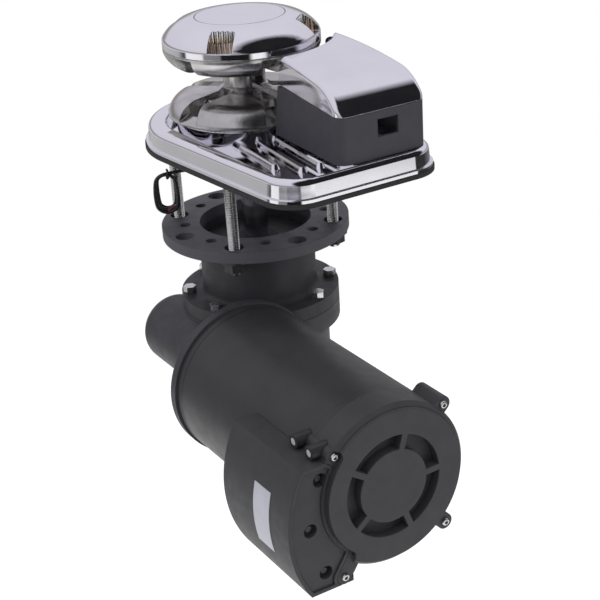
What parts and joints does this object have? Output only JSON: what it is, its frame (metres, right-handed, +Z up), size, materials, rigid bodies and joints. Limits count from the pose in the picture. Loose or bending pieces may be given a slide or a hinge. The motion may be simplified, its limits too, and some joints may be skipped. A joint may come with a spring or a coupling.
{
  "type": "vertical anchor windlass",
  "caption": "Vertical anchor windlass: chain gypsy with a domed clutch cap and a hinged chain-pipe hood on a deck plate, over a worm gearbox with a side motor and control box.",
  "frame": {"origin": "where the gypsy shaft's axis meets the deck, at the underside of the deck gasket", "axes": "+Z up along the shaft, +X from the shaft towards the chain pipe and along the motor below deck, +Y to the side away from the motor"},
  "size_m": [0.378, 0.2384, 0.3628],
  "materials": {
    "chrome": "polished",
    "cast_steel": "satin",
    "machined_steel": "turned",
    "bolt_steel": "bright",
    "flange_coat": "satin",
    "casting_coat": "satin",
    "motor_coat": "satin",
    "cover_plastic": "satin",
    "hood_plastic": "fine grain",
    "bronze": "turned",
    "gasket_rubber": "matte",
    "laminations": "stacked sheet",
    "copper": "enamelled wire",
    "carbon": "matte",
    "ferrite": "matte",
    "holder_plastic": "matte",
    "sensor_plastic": "satin",
    "label_film": "satin",
    "cable_jacket": "matte"
  },
  "bodies": {
    "frame": {"deck_gasket": "gasket_rubber", "base_plate": "chrome", "shaft_bush": "bronze", "shaft_seal": "gasket_rubber", "deck_studs": "bolt_steel", "stud_washers": "bolt_steel", "stud_nuts": "bolt_steel", "chain_stripper": "machined_steel", "hood_housing": "hood_plastic", "hood_screws": "bolt_steel", "lid_pins": "bolt_steel", "gearbox_cover": "flange_coat", "gearbox_gasket": "gasket_rubber", "gearbox_body": "casting_coat", "cover_bolts": "bolt_steel", "oil_seal": "gasket_rubber", "shaft_bearings_outer": "machined_steel", "worm_bearings_outer": "machined_steel", "drive_bell": "motor_coat", "motor_can": "motor_coat", "motor_magnets": "ferrite", "motor_bearing_outer": "machined_steel", "rear_bell": "motor_coat", "brush_holder": "holder_plastic", "brushes": "carbon", "motor_cover": "cover_plastic", "cover_screws": "bolt_steel", "control_box": "cover_plastic", "box_front": "cover_plastic", "box_screws": "bolt_steel", "terminal_posts": "cover_plastic", "label_plate": "label_film", "chain_sensor": "sensor_plastic", "sensor_cable": "cable_jacket", "sensor_cable_coil": "cable_jacket"},
    "shaft": {"main_shaft": "machined_steel", "shaft_keys": "bolt_steel", "wheel_key": "bolt_steel", "lower_cone": "machined_steel", "shaft_bearings_inner": "machined_steel", "worm_wheel": "bronze"},
    "gypsy": {"gypsy": "cast_steel", "gypsy_bush": "bronze", "gypsy_magnet": "ferrite"},
    "clutch": {"upper_cone": "machined_steel", "clutch_washer": "bronze"},
    "cap": {"cap": "chrome", "cap_disc": "chrome"},
    "lid": {"hood_lid": "chrome"},
    "rotor": {"worm": "machined_steel", "worm_bearings_inner": "machined_steel", "motor_shaft": "machined_steel", "armature": "laminations", "windings": "copper", "commutator": "copper", "motor_bearing_inner": "machined_steel"}
  },
  "joints": [
    {"name": "shaft_turn", "type": "hinge", "parent": "frame", "child": "shaft", "pos_m": [0, 0, 0], "axis": [0, 0, 1], "continuous": true},
    {"name": "gypsy_free_fall", "type": "hinge", "parent": "shaft", "child": "gypsy", "pos_m": [0, 0, 0.055], "axis": [0, 0, 1], "continuous": true},
    {"name": "clutch_lift", "type": "slide", "parent": "shaft", "child": "clutch", "axis": [0, 0, 1], "range_m": [0, 0.0015]},
    {"name": "cap_turn", "type": "hinge", "parent": "clutch", "child": "cap", "pos_m": [0, 0, 0.09], "axis": [0, 0, 1], "range_deg": [0, 180]},
    {"name": "lid_hinge", "type": "hinge", "parent": "frame", "child": "lid", "pos_m": [0.0777, -0.00907, 0.079], "axis": [0.4702, -0.8826, 0], "range_deg": [0, 50]},
    {"name": "rotor_spin", "type": "hinge", "parent": "frame", "child": "rotor", "pos_m": [0, -0.06, -0.185], "axis": [1, 0, 0], "continuous": true}
  ],
  "couplings": [
    {"joint": "shaft_turn", "follows": "rotor_spin", "ratio": -0.02},
    {"joint": "clutch_lift", "follows": "cap_turn", "m_per_rad": 0.00047746}
  ]
}
